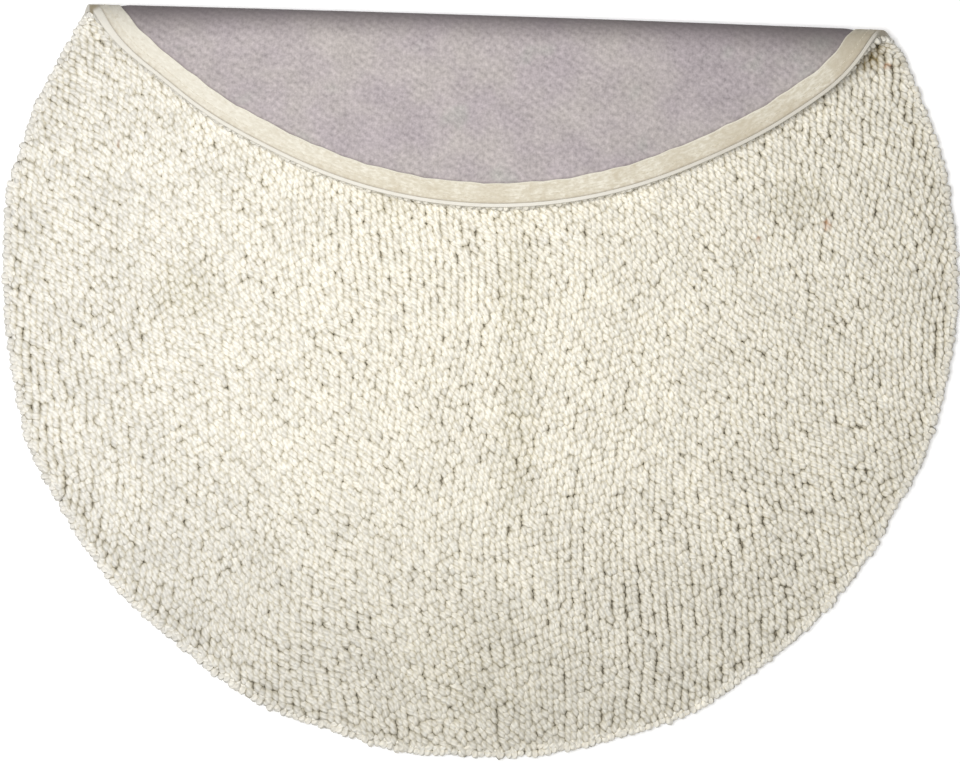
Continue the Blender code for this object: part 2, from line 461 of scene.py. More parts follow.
# %% [markdown]
# ## Felted backing
#
# The underside is a thin mauve-grey backing, needled into a felt with a faint slanting twill. It is worn
# lighter and darker in soft blotches and greener in a few patches. Shade is painted on it along the bend
# where it turns over the fold, and as a thin shadow beside the tape's inner edge. All of that is colour
# and very low relief, so it belongs to the material, laid out on the flat cloth.

# %% The felted backing
TWILL_DEG = 57.0
TWILL_SCALE = 35.3
TWILL_WANDER = {"Distortion": 1.5, "Detail": 2.0, "Detail Scale": 1.5}
CREASE_V = 0.5 * (BEND_START + BEND_END)
BACKING_MAUVE = (0.395, 0.347, 0.360)
BACKING_GREY = (0.405, 0.367, 0.350)
BACKING_GREEN = (0.385, 0.385, 0.35)
# The next colour is painted shade for the fold's bend.
BACKING_FOLD_SHADE = (0.13, 0.11, 0.115)
# The next colour is a painted shadow beside the tape's inner edge.
BACKING_EDGE_SHADOW = (0.20, 0.17, 0.165)
BLOTCHES = Grain(9.0, 3.0, 0.6)
BLOTCH_EDGE = (0.32, 0.68)
CLOUDS = Grain(26.0, 3.0, 0.6)
GREEN_PATCHES = Grain(14.0, 2.0, 0.5)
GREEN_EDGE = (0.60, 0.74)
MOTTLE = Grain(180.0, 3.0, 0.7)
FIBRES = Grain(420.0, 3.0, 0.7)
FIBRE_STRETCH = (1.0, 0.45, 1.0)
EDGE_SHADOW_WIDTH = 0.0036
FOLD_SHADE_BEFORE = 0.05
BACKING_FOLD_SHADE_AFTER = 0.055
BACKING_RELIEF = 0.0009


def round_the_rug(finish, place):
    """How far out and how far round a place on the flat rug is."""
    radius = finish.length(finish.scaled(place, (1.0, 1.0, 0.0)))
    return radius, finish.maths("ARCTAN2", finish.part(place, "Y"), finish.part(place, "X"))


def painted_fold_shade(finish, place, reach):
    """Painted shade along the fold: 1 along the middle of the bend, falling to 0 this far beyond it."""
    v = finish.part(place, "Y")
    before = finish.step(v, CREASE_V - FOLD_SHADE_BEFORE, CREASE_V)
    return before * (1 - finish.step(v, CREASE_V, CREASE_V + reach))


def backing_finish():
    finish = Finish("felted_backing", Roughness=0.97, Metallic=0.0)
    place = finish.attribute("flat_place")
    blotches = finish.noise(place, BLOTCHES)
    clouds = finish.noise(place, CLOUDS)
    greenish = finish.noise(place, GREEN_PATCHES)
    mottle = finish.noise(place, MOTTLE)
    fibres = finish.noise(finish.scaled(place, FIBRE_STRETCH), FIBRES)
    turned = {"Vector": place, "Angle": math.radians(TWILL_DEG)}
    slant = finish.node("ShaderNodeVectorRotate", {"rotation_type": "Z_AXIS"}, turned)
    bands = {"wave_type": "BANDS", "bands_direction": "X"}
    ribs = {"Vector": slant, "Scale": TWILL_SCALE, **TWILL_WANDER}
    twill = finish.node("ShaderNodeTexWave", bands, ribs, "Fac")
    tone = finish.mix(finish.step(blotches, *BLOTCH_EDGE), BACKING_MAUVE, BACKING_GREY)
    tone = finish.mix(0.55 * finish.step(greenish, *GREEN_EDGE), tone, BACKING_GREEN)
    uneven = 0.30 * blotches + 0.35 * clouds - 0.11
    tone = finish.shaded(tone, uneven + 1.15 * mottle + 0.32 * fibres + 0.09 * twill)
    radius = round_the_rug(finish, place)[0]
    # Painted shadow: a thin dark line on the backing along the tape's inner edge.
    shadow_beside_tape = finish.step(radius, TAPE_INNER - EDGE_SHADOW_WIDTH, TAPE_INNER)
    tone = finish.mix(0.45 * shadow_beside_tape, tone, BACKING_EDGE_SHADOW)
    # Painted shade: the backing is darkened along the bend, where it turns over the fold.
    fold_shade = painted_fold_shade(finish, place, BACKING_FOLD_SHADE_AFTER)
    finish.colour(finish.mix(0.84 * fold_shade, tone, BACKING_FOLD_SHADE))
    finish.relief(0.6 * mottle + 0.3 * fibres + 0.1 * twill, BACKING_RELIEF)
    return finish


backing_edge = TAPE_INNER + BACKING_UNDER_TAPE
backing_under = [(radius, steps_up(radius)) for radius in STEP_RADII]
backing_over = [(radius, w + BACKING_THICKNESS) for radius, w in reversed(backing_under)]
backing_end = [(backing_edge, BACKING_LOW), (backing_edge, BACKING_LOW + BACKING_THICKNESS)]
backing_section = backing_under + backing_end + backing_over
felt_backing = layer("felt_backing", backing_section, False, backing_finish())

# %% [markdown]
# ## Cream tape
#
# A straight cotton tape is eased round the rim and sewn over the backing's edge. Its inner edge has too
# much cloth for its shorter way round, so it is full there, in small puckers. It has firm edges, a
# slight groove along its stitching and old brownish marks, and it is lighter at the left. A highlight is
# painted along its inner edge, and shade is painted along its outer edge beside the band and where it
# turns over the fold.

# %% The tape's puckers
STITCH_SHARE = 0.66
STITCH_RADIUS = TAPE_INNER + STITCH_SHARE * TAPE_WIDTH
PUCKER_SHARE = 0.6
PUCKER_DEPTH = 0.00028
GROOVE_DEPTH = 0.00022
GROOVE_WIDTH = 0.0012
PUCKERS_ROUND = ((271, 0.4, 0.5), (338, 1.7, 0.3), (157, 2.9, 0.2))
EDGE_WAVER = ((41, 1.0, 0.0005), (97, 0.0, 0.0006))


def pucker(flat):
    """Small ripples towards the tape's inner edge, and the groove that its stitching draws in."""
    settled = flat.copy()
    radius = np.hypot(flat[:, 0], flat[:, 1])
    angle = np.arctan2(flat[:, 1], flat[:, 0])
    full = 1 - ramp(radius, TAPE_INNER, TAPE_INNER + PUCKER_SHARE * TAPE_WIDTH)
    ripple = sum(share * np.sin(count * angle + start) for count, start, share in PUCKERS_ROUND)
    waver = sum(depth * np.sin(count * angle + start) for count, start, depth in EDGE_WAVER)
    groove = np.exp(-(((radius - STITCH_RADIUS) / GROOVE_WIDTH) ** 2))
    shows = flat[:, 2] < TAPE_THICKNESS / 2
    settled[:, 2] += shows * (PUCKER_DEPTH * full * (1 + ripple) / 2 + GROOVE_DEPTH * groove)
    settled[:, :2] *= (1 + waver * full / radius)[:, None]
    return settled


# %% The tape's weave and marks
Mark = namedtuple("Mark", "u v size strength")
FOLDED_BACK = BEND_END + BEND_END_Y
TAPE_END_PITCH = 0.0016
TAPE_PICKS_ROUND = 2300
TAPE_CREAM = (0.645, 0.590, 0.465)
TAPE_PALE = (0.83, 0.79, 0.68)
TAPE_LEFT_TINT = (0.84, 0.81, 0.725)
TAPE_SOILED = (0.56, 0.49, 0.365)
TAPE_SPECK = (0.50, 0.42, 0.29)
TAPE_EDGE_HIGHLIGHT = (0.86, 0.82, 0.70)
TAPE_SEAM_SHADE = (0.44, 0.38, 0.30)
STREAKS_ROUND = 75.0
STREAKS_OUT = 330.0
STREAKS = Grain(1.0, 3.0, 0.6)
STREAK_EDGE = (0.35, 0.75)
SPECKS = Grain(150.0, 3.0, 0.7)
SPECK_EDGE = (0.56, 0.72)
DIRT_EDGE = (0.35, 0.6)
SOILING = Grain(34.0, 4.0, 0.65)
SOILING_EDGE = (0.52, 0.74)
TAPE_LIGHTER_SIDE = (-0.45, -0.05)
DIRTY_RADII = (TAPE_OUTER - 0.010, TAPE_OUTER - 0.002)
SEAM_SHADE_RADII = (TAPE_OUTER - 0.0024, TAPE_OUTER - 0.0008)
EDGE_HIGHLIGHT_RADII = (TAPE_INNER + 0.0004, TAPE_INNER + 0.0022)
TAPE_FOLD_SHADE_AFTER = 0.06
TAPE_RELIEF = 0.0005
TAPE_MARKS = (
    Mark(0.320, FOLDED_BACK - 0.186, 0.05, 0.7),
    Mark(0.379, FOLDED_BACK - 0.218, 0.04, 0.8),
    Mark(0.241, FOLDED_BACK - 0.153, 0.03, 0.5),
    Mark(0.456, FOLDED_BACK - 0.305, 0.06, 0.9),
    Mark(0.013, FOLDED_BACK - 0.106, 0.035, 0.45),
    Mark(-0.178, FOLDED_BACK - 0.119, 0.03, 0.35),
    Mark(-0.469, FOLDED_BACK - 0.300, 0.04, 0.55),
)


def tape_finish():
    finish = Finish("cream_tape_weave", Roughness=0.9, Metallic=0.0)
    place = finish.attribute("flat_place")
    radius, angle = round_the_rug(finish, place)
    warp = finish.sine(radius * (math.tau / TAPE_END_PITCH))
    weave = 0.5 + 0.5 * (warp * finish.sine(angle * TAPE_PICKS_ROUND))
    outwards = finish.node("ShaderNodeVectorMath", {"operation": "NORMALIZE"}, {0: place})
    ring_place = {
        "X": STREAKS_ROUND * finish.part(outwards, "X"),
        "Y": STREAKS_ROUND * finish.part(outwards, "Y"),
        "Z": STREAKS_OUT * radius,
    }
    streaks = finish.noise(finish.node("ShaderNodeCombineXYZ", {}, ring_place), STREAKS)
    specks = finish.noise(place, SPECKS)
    darkened = finish.step(finish.noise(place, SOILING), *SOILING_EDGE)
    for mark in TAPE_MARKS:
        spot = finish.spot(place, mark.u, mark.v, mark.size, mark.size)
        darkened = finish.maths("MAXIMUM", darkened, mark.strength * spot)
    # The tape is lighter towards the left, with less of its dirt there.
    tape_lighter_left = 1 - finish.step(finish.part(place, "X"), *TAPE_LIGHTER_SIDE)
    tone = finish.mix(finish.step(streaks, *STREAK_EDGE), TAPE_CREAM, TAPE_PALE)
    tone = finish.mix(0.75 * (darkened * (1 - 0.6 * tape_lighter_left)), tone, TAPE_SOILED)
    tone = finish.mix(0.5 * tape_lighter_left, tone, TAPE_LEFT_TINT)
    tone = finish.mix(0.35 * finish.step(specks, *SPECK_EDGE), tone, TAPE_SPECK)
    dirty_side = finish.step(radius, *DIRTY_RADII)
    tone = finish.mix(0.30 * (dirty_side * finish.step(specks, *DIRT_EDGE)), tone, TAPE_SPECK)
    # Painted highlight: a lighter line along the tape's inner edge.
    edge_highlight = 1 - finish.step(radius, *EDGE_HIGHLIGHT_RADII)
    tone = finish.mix(0.7 * edge_highlight, tone, TAPE_EDGE_HIGHLIGHT)
    # Painted shade: a darker line along the tape's outer edge, in the joint with the band.
    seam_shade = finish.step(radius, *SEAM_SHADE_RADII)
    tone = finish.mix(0.4 * seam_shade, tone, TAPE_SEAM_SHADE)
    # Painted shade: the tape is darkened a little where it turns over the fold.
    fold_shade = painted_fold_shade(finish, place, TAPE_FOLD_SHADE_AFTER)
    finish.colour(finish.shaded(tone, (0.93 + 0.07 * weave) * (1 - 0.15 * fold_shade)))
    finish.relief(0.6 * weave + 0.4 * specks, TAPE_RELIEF)
    return finish


# %% The tape itself
TAPE_ROUND = 0.0004
TAPE_POINTS = 12
tape_radii = np.linspace(TAPE_INNER + TAPE_ROUND, TAPE_OUTER - TAPE_ROUND, TAPE_POINTS)
tape_low = [(radius, 0.0) for radius in tape_radii]
tape_outer = [(TAPE_OUTER, TAPE_ROUND), (TAPE_OUTER, TAPE_THICKNESS - TAPE_ROUND)]
tape_high = [(TAPE_OUTER - TAPE_ROUND, TAPE_THICKNESS), (TAPE_INNER + TAPE_ROUND, TAPE_THICKNESS)]
tape_inner = [(TAPE_INNER, TAPE_THICKNESS - TAPE_ROUND), (TAPE_INNER, TAPE_ROUND)]
tape_section = tape_low + tape_outer + tape_high + tape_inner
sewn_tape = layer("sewn_tape", tape_section, True, tape_finish(), pucker)

# %% [markdown]
# ## White edge band
#
# A narrow white band laps from the tape's outer edge round the rim and covers the cut ends of the
# ground cloth. It shows as a thin white line beside the tape, greyer to the right, and as a smooth wall
# at the fold's ends, the left one of them brown and the right one darkened by painted shade.

# %% The edge band
BAND_RIBS_ROUND = 2600
BAND_ROW_PITCH = 0.0011
BAND_WHITE = (0.715, 0.685, 0.610)
BAND_GREYED = (0.58, 0.545, 0.465)
BAND_BROWN_AND_SHADE = (0.28, 0.22, 0.12)
GRIME = Grain(42.0, 4.0, 0.65)
GRIME_EDGE = (0.5, 0.75)
GREYER_SIDE = (0.08, 0.34)
BAND_RELIEF = 0.0003
BAND_SPOTS_AND_SHADE = (
    Mark(-0.484, CREASE_V + 0.004, 0.011, 0.85),
    # Painted shade: this spot darkens the band's tip at the fold's right end.
    Mark(0.488, CREASE_V, 0.022, 0.45),
)


def band_finish():
    finish = Finish("white_band_weave", Roughness=0.85, Metallic=0.0)
    place = finish.attribute("flat_place")
    angle = round_the_rug(finish, place)[1]
    ribs = 0.5 + 0.5 * finish.sine(angle * BAND_RIBS_ROUND)
    rows = 0.5 + 0.5 * finish.sine(finish.part(place, "Z") * (math.tau / BAND_ROW_PITCH))
    grime = finish.step(finish.noise(place, GRIME), *GRIME_EDGE)
    # The band is greyer towards the right.
    greyer_right = finish.step(finish.part(place, "X"), *GREYER_SIDE)
    tone = finish.mix(0.4 * grime + 0.5 * greyer_right, BAND_WHITE, BAND_GREYED)
    for mark in BAND_SPOTS_AND_SHADE:
        spot = finish.spot(place, mark.u, mark.v, mark.size, mark.size)
        tone = finish.mix(mark.strength * spot, tone, BAND_BROWN_AND_SHADE)
    finish.colour(tone)
    finish.relief(0.6 * ribs + 0.4 * rows, BAND_RELIEF)
    return finish


BAND_CORNER = 0.0014
WALL_HEIGHTS = (0.003, 0.006)
BAND_SPREAD = 0.0060
SPREAD_RUN = 0.05
LIP_ROUND = 0.0003
ROUND_STEPS = 4
band_inside = BAND_RADIUS - BAND_THICKNESS
band_lip = BAND_RADIUS - BAND_LIP
band_middle = BAND_RADIUS - BAND_THICKNESS / 2


def arc(radius, w, size, start, end):
    """Points of an arc in the section, its ends given as angles from straight out."""
    turned = np.linspace(start, end, ROUND_STEPS + 1)
    return [(radius + size * math.cos(angle), w + size * math.sin(angle)) for angle in turned]


def spread(flat):
    """At the fold's left end the band is pulled out straight, so more of it shows there."""
    radius = np.hypot(flat[:, 0], flat[:, 1])
    at_fold = (flat[:, 0] < 0) * soft_step(flat[:, 1], BEND_START, CREASE_V)
    at_fold = at_fold * (1 - soft_step(flat[:, 1], CREASE_V, BEND_END + SPREAD_RUN))
    moved = flat.copy()
    outwards = BAND_SPREAD * at_fold * ramp(radius, band_lip, band_inside)
    moved[:, :2] *= (1 + outwards / radius)[:, None]
    return moved


corner = arc(BAND_RADIUS - BAND_CORNER, BAND_CORNER, BAND_CORNER, -math.pi / 2, 0.0)
wall = [(BAND_RADIUS, w) for w in WALL_HEIGHTS]
top = arc(band_middle, BAND_HEIGHT - BAND_THICKNESS / 2, BAND_THICKNESS / 2, 0.0, math.pi)
lip_over = [(band_inside, BAND_THICKNESS), (band_lip + LIP_ROUND, BAND_THICKNESS)]
lip_end = [(band_lip, BAND_THICKNESS / 2), (band_lip + LIP_ROUND, 0.0)]
band_section = corner + wall + top + lip_over + lip_end
white_edge_band = layer("white_edge_band", band_section, True, band_finish(), spread)

# %% [markdown]
# ## Stitching on the tape
#
# One row of machine stitches holds the tape. Each stitch is a short thread that dips into the cloth at
# both ends, so a small curved tube is enough, and a few hundred of them are joined into one mesh.

# %% Bodies made of rings, many at once
Shapes = namedtuple("Shapes", "root axis along across")
Ring = namedtuple("Ring", "height width")


def ringed(shapes, rings, sides, lumps):
    """The flat places of many ringed bodies, each with a tip, as an array of bodies and points."""
    turned = np.arange(sides) * math.tau / sides
    height = np.array([ring.height for ring in rings])[:, None, None]
    width = np.array([ring.width for ring in rings])[:, None, None]
    around = (
        np.cos(turned)[:, None] * shapes.across[:, None, None, :]
        + np.sin(turned)[:, None] * shapes.along[:, None, None, :]
    )
    body = shapes.root[:, None, None, :] + height * shapes.axis[:, None, None, :]
    body = body + width * around * lumps[..., None]
    tip = (shapes.root + shapes.axis)[:, None, :]
    return np.concatenate([body.reshape(len(shapes.root), -1, 3), tip], axis=1)


def ringed_faces(count, rings, sides):
    """The faces of that many ringed bodies: bands between the rings, a fan to the tip, and a root."""
    points = len(rings) * sides + 1
    beside = [(side, (side + 1) % sides) for side in range(sides)]
    one = [tuple(reversed(range(sides)))]
    for low in range(0, (len(rings) - 1) * sides, sides):
        one += [(low + a, low + b, low + sides + b, low + sides + a) for a, b in beside]
    last = (len(rings) - 1) * sides
    one += [(last + a, last + b, points - 1) for a, b in beside]
    starts = range(0, count * points, points)
    return [tuple(start + corner for corner in face) for start in starts for face in one]


def many(name, flat, faces, finish, extra):
    """One mesh of many bodies, laid on the rug. extra holds more values to keep with its points."""
    rows = flat.reshape(-1, 3)
    data = bpy.data.meshes.new(name)
    data.from_pydata(lay(rows).tolist(), [], faces)
    data.shade_smooth()
    for key, values in extra.items():
        kind, field = ("FLOAT_VECTOR", "vector") if values.shape[-1] == 3 else ("FLOAT", "value")
        keep(data, key, kind, field, values)
    return show(name, data, finish)


# %% The stitches
STITCH_PITCH = 0.0055
STITCH_LENGTH = 0.0042
STITCH_WIDTH = 0.0008
STITCH_RISE = 0.0005
THREAD_CREAM = (0.72, 0.67, 0.56)
THREAD_GRAIN = Grain(900.0, 2.0, 0.5)
STITCH_SIDES = 6
STITCH_RINGS = (Ring(0.0, 0.5), Ring(0.25, 1.0), Ring(0.75, 1.0))
stitch_count = round(math.tau * STITCH_RADIUS / STITCH_PITCH)
stitch_angle = np.arange(stitch_count) * math.tau / stitch_count
outwards = np.column_stack([np.cos(stitch_angle), np.sin(stitch_angle), np.zeros(stitch_count)])
onwards = np.column_stack([-np.sin(stitch_angle), np.cos(stitch_angle), np.zeros(stitch_count)])
up = np.array([0.0, 0.0, 1.0])
stitches = Shapes(
    STITCH_RADIUS * outwards - 0.5 * STITCH_LENGTH * onwards,
    STITCH_LENGTH * onwards,
    np.tile(-0.5 * STITCH_WIDTH * up, (stitch_count, 1)),
    -0.5 * STITCH_WIDTH * outwards,
)
even = np.ones((stitch_count, len(STITCH_RINGS), STITCH_SIDES))
stitch_points = ringed(stitches, STITCH_RINGS, STITCH_SIDES, even)
stitch_points[:, STITCH_SIDES:-1, 2] += GROOVE_DEPTH - STITCH_RISE / 2
thread = Finish("cream_thread", Roughness=0.8, Metallic=0.0)
thread_fibres = thread.noise(thread.attribute("flat_place"), THREAD_GRAIN)
thread.colour(thread.mix(thread_fibres, TAPE_CREAM, THREAD_CREAM))
stitch_faces = ringed_faces(stitch_count, STITCH_RINGS, STITCH_SIDES)
stitch_extra = {"flat_place": stitch_points}
tape_stitches = many("tape_stitches", stitch_points, stitch_faces, thread, stitch_extra)

# %% [markdown]
# ## Loops of yarn
#
# From above, a loop of thick yarn is a plump grain, a little longer than wide, and it is narrow where
# it goes into the ground. Thousands of them stand in slanting rows that the tufting gun has wandered
# off in long curves. Each is placed by numpy on a lattice that is bent by smooth waves, and shaken a
# little, so that no two are alike. Nobody sees the loops inside the fold, so those have a coarser form.

# %% Where the loops stand
LOOP_SEED = 7
PITCH_ACROSS = 0.0074
PITCH_ALONG = 0.0088
SHAKE_ACROSS = 0.0006
SHAKE_ALONG = 0.0012
LOOPS_EACH_WAY = 82
ROWS_EACH_WAY = 112
SLIP = 0.10
SLIP_LONG = 6.5
SLIP_SHORT = 2.9
PAIRING = 0.00035
PAIRED_FROM = -0.10
PAIRED_FULLY = 0.45
LATTICE_RADIUS = 0.5875
Wave = namedtuple("Wave", "along_u along_v start turn")
ROW_WAVES = (
    Wave(9.0, 6.0, 0.6, 0.09),
    Wave(-5.5, 11.0, 2.1, 0.09),
    Wave(13.0, -3.5, 4.0, 0.07),
)
rng = np.random.default_rng(LOOP_SEED)


def wandered(u, v):
    """Bends the rows of loops by waves that turn them without crowding them, and gives the turn."""
    out_u, out_v, turned = np.zeros_like(u), np.zeros_like(v), np.zeros_like(u)
    for wave in ROW_WAVES:
        phase = wave.along_u * u + wave.along_v * v + wave.start
        steepness = wave.along_u**2 + wave.along_v**2
        out_u += 2 * wave.turn * wave.along_v / steepness * np.sin(phase)
        out_v -= 2 * wave.turn * wave.along_u / steepness * np.sin(phase)
        turned -= wave.turn * np.cos(phase)
    return u + out_u, v + out_v, turned


# Each row slips to and fro along itself by up to a seventh of a loop. Towards the near rim, every
# second loop stands closer to its neighbour.
loop_numbers = np.arange(-LOOPS_EACH_WAY, LOOPS_EACH_WAY + 1)
row_numbers = np.arange(-ROWS_EACH_WAY, ROWS_EACH_WAY + 1)
stitch, row = (grid.ravel() for grid in np.meshgrid(loop_numbers, row_numbers))
row_start = rng.uniform(0, math.tau, (2, row_numbers.size))[:, row + ROWS_EACH_WAY]
slip = np.sin(stitch / SLIP_LONG + row_start[0])
slip = SLIP * (slip + 0.5 * np.sin(stitch / SLIP_SHORT + row_start[1]))
along_row = stitch + slip
up_row = (row + 0.5 * along_row) * PITCH_ALONG
paired = PAIRING * np.where(stitch % 2, 1.0, -1.0)
paired = paired * soft_step(-up_row, PAIRED_FROM, PAIRED_FULLY)
loop_u, loop_v, row_turn = wandered(along_row * PITCH_ACROSS + paired, up_row)
loop_u = loop_u + rng.uniform(-SHAKE_ACROSS, SHAKE_ACROSS, loop_u.size)
loop_v = loop_v + rng.uniform(-SHAKE_ALONG, SHAKE_ALONG, loop_v.size)
inside = np.hypot(loop_u, loop_v) < LATTICE_RADIUS
loop_u, loop_v = loop_u[inside], loop_v[inside]
row_turn, paired = row_turn[inside], paired[inside]
print(f"{loop_u.size} loops stand on the ground cloth")

# %% How big each loop is, and which ones hide
LOOP_WIDTH = 0.0074
LOOP_LENGTH = 0.0100
ROOT_DEPTH = 0.0005
LOOP_ROOT = GROUND_LOW + GROUND_THICKNESS - ROOT_DEPTH
WIDTH_VARIES = (0.88, 1.12)
LENGTH_VARIES = (0.86, 1.16)
TIP_SPREAD = 0.0009
LEAN = 0.0022
NAP = 0.0020
RIM_LEAN = 0.0045
RIM_LEAN_FROM = 0.565
HEADING = math.pi / 2 + 0.15
HEADING_SPREAD = math.radians(12)
SWIRL = math.radians(9)
PILE_UNEVENNESS = 0.0006
NEAR_RIM_DARKER = 0.13
DARKER_FROM = 0.15
TONE_SPREAD = 0.04
PAIRED_TONE = 40
FULLEST = 1.07
WORN = 0.06
Swell = namedtuple("Swell", "along_u along_v start share")
SWELLS = (
    Swell(11, 4, 0.0, 0.40),
    Swell(-5, 13, 0.8, 0.35),
    Swell(24, -9, 1.9, 0.25),
)
SWIRLS = (Swell(21, -17, 1.0, 1.0), Swell(9, 14, 0.0, 1.0))
FLAP_SHOWS = 0.045
LOWER_SHOWS = 0.035


def swelling(swell, u, v):
    return swell.share * np.sin(swell.along_u * u + swell.along_v * v + swell.start)


def pile_rise(u, v):
    """The soft swells of the pile's surface."""
    return PILE_UNEVENNESS * sum(swelling(swell, u, v) for swell in SWELLS)


def fullness(u, v):
    """Yarn stands fuller at the left and in the middle, and is worn thinner towards the right."""
    return FULLEST - WORN * ramp(0.90 * u - 0.30 * v, 0.00, 0.50)


def hidden(u, v):
    """Which loops nobody sees: deep between the folded side and the pile below it, or in the bend."""
    mirror_v = BEND_END + BEND_END_Y - v
    below = (v > 0) & (v <= BEND_START) & (np.hypot(u, mirror_v) < PILE_RADIUS - LOWER_SHOWS)
    folded = (v > BEND_START) & (np.hypot(u, v) < PILE_RADIUS - FLAP_SHOWS)
    return below & (mirror_v > BEND_START) | folded


count = loop_u.size
swirl = math.prod((swelling(swell, loop_u, loop_v) for swell in SWIRLS), start=SWIRL)
heading = HEADING + row_turn + swirl + rng.normal(0, HEADING_SPREAD, count)
full = fullness(loop_u, loop_v)
width = LOOP_WIDTH * full * rng.uniform(*WIDTH_VARIES, count)
length = LOOP_LENGTH * full * rng.uniform(*LENGTH_VARIES, count)
tip = RUG_THICKNESS + pile_rise(loop_u, loop_v) + rng.uniform(-TIP_SPREAD, TIP_SPREAD, count)
lean = rng.normal(0, LEAN / 2, (count, 2))
out_from_centre = np.column_stack([loop_u, loop_v]) / np.hypot(loop_u, loop_v).clip(0.001)[:, None]
leans_out = RIM_LEAN * soft_step(np.hypot(loop_u, loop_v), RIM_LEAN_FROM, LATTICE_RADIUS)
nap = -NAP * np.column_stack([np.cos(heading), np.sin(heading)])
lean = lean + nap + out_from_centre * leans_out[:, None]
# Loops are darker towards the near rim.
darkened = NEAR_RIM_DARKER * soft_step(-loop_v, DARKER_FROM, PILE_RADIUS)
loop_tone = (rng.normal(1.0, TONE_SPREAD, count) + PAIRED_TONE * paired) * (1 - darkened)
flat_zero = np.zeros(count)
root = np.column_stack([loop_u, loop_v, np.full(count, LOOP_ROOT)])
axis = np.column_stack([lean, tip - LOOP_ROOT])
along = np.column_stack([np.cos(heading), np.sin(heading), flat_zero]) * (0.5 * length)[:, None]
across = np.column_stack([np.sin(heading), -np.cos(heading), flat_zero]) * (0.5 * width)[:, None]
covered = hidden(loop_u, loop_v)
print(f"{np.count_nonzero(~covered)} of them show")

# %% [markdown]
# ## Yarn
#
# The yarn is ivory wool, softly twisted from a few strands, and lighter and cooler at the left. Down
# between the loops its colour is painted darker, to an olive brown: painted shade, where light doesn't
# reach. The old stains and some broad spots of painted shade lie mostly down there too.

# %% The yarn's finish
YarnSpot = namedtuple("YarnSpot", "u v across along colour strength")
YARN_WARM = (0.87, 0.82, 0.705)
YARN_COOL = (0.85, 0.83, 0.755)
YARN_LEFT_TINT = (0.86, 0.835, 0.775)
YARN_DEEP_SHADE = (0.575, 0.53, 0.415)
OLIVE = (0.26, 0.19, 0.06)
UMBER = (0.30, 0.15, 0.06)
RUST = (0.42, 0.20, 0.08)
PILE_WAVE_SHADE = (0.42, 0.38, 0.25)
STRAND_SCALE = 62.0
STRAND_DEG = 55.0
STRAND_WANDER = 1.5
FUZZ = Grain(900.0, 3.0, 0.7)
PATCHES = Grain(12.0, 3.0, 0.55)
TINTS = Grain(60.0, 2.0, 0.6)
TINT_EDGE = (0.35, 0.65)
YARN_LIGHTER_SIDE = (-0.50, 0.0)
DEEP_SHADE_EDGE = (0.63, 1.03)
YARN_RELIEF = 0.0009
YARN_STAINS_AND_SHADE = (
    # The first three olive spots, at the fold's right end, are partly stain and partly painted shadow in
    # the fold's mouth.
    YarnSpot(0.470, 0.294, 0.032, 0.022, OLIVE, 1.0),
    YarnSpot(0.487, 0.318, 0.018, 0.020, OLIVE, 0.7),
    YarnSpot(0.516, 0.292, 0.010, 0.010, OLIVE, 0.7),
    YarnSpot(0.335, 0.192, 0.006, 0.009, OLIVE, 1.0),
    YarnSpot(-0.4578, 0.1568, 0.003, 0.008, UMBER, 1.0),
    YarnSpot(0.498, 0.286, 0.009, 0.006, RUST, 0.8),
    YarnSpot(0.4311, 0.0846, 0.008, 0.010, RUST, 1.0),
    YarnSpot(0.346, 0.0635, 0.004, 0.006, RUST, 1.0),
    # Painted shade: the six broad spots from here on darken the pile where its soft waves turn from the
    # light.
    YarnSpot(-0.367, -0.023, 0.065, 0.055, PILE_WAVE_SHADE, 0.38),
    YarnSpot(-0.117, 0.098, 0.040, 0.035, PILE_WAVE_SHADE, 0.32),
    YarnSpot(0.396, 0.115, 0.055, 0.045, PILE_WAVE_SHADE, 0.35),
    YarnSpot(0.046, -0.018, 0.035, 0.13, PILE_WAVE_SHADE, 0.32),
    YarnSpot(0.0525, -0.198, 0.035, 0.15, PILE_WAVE_SHADE, 0.34),
    YarnSpot(0.015, -0.487, 0.14, 0.10, PILE_WAVE_SHADE, 0.20),
)


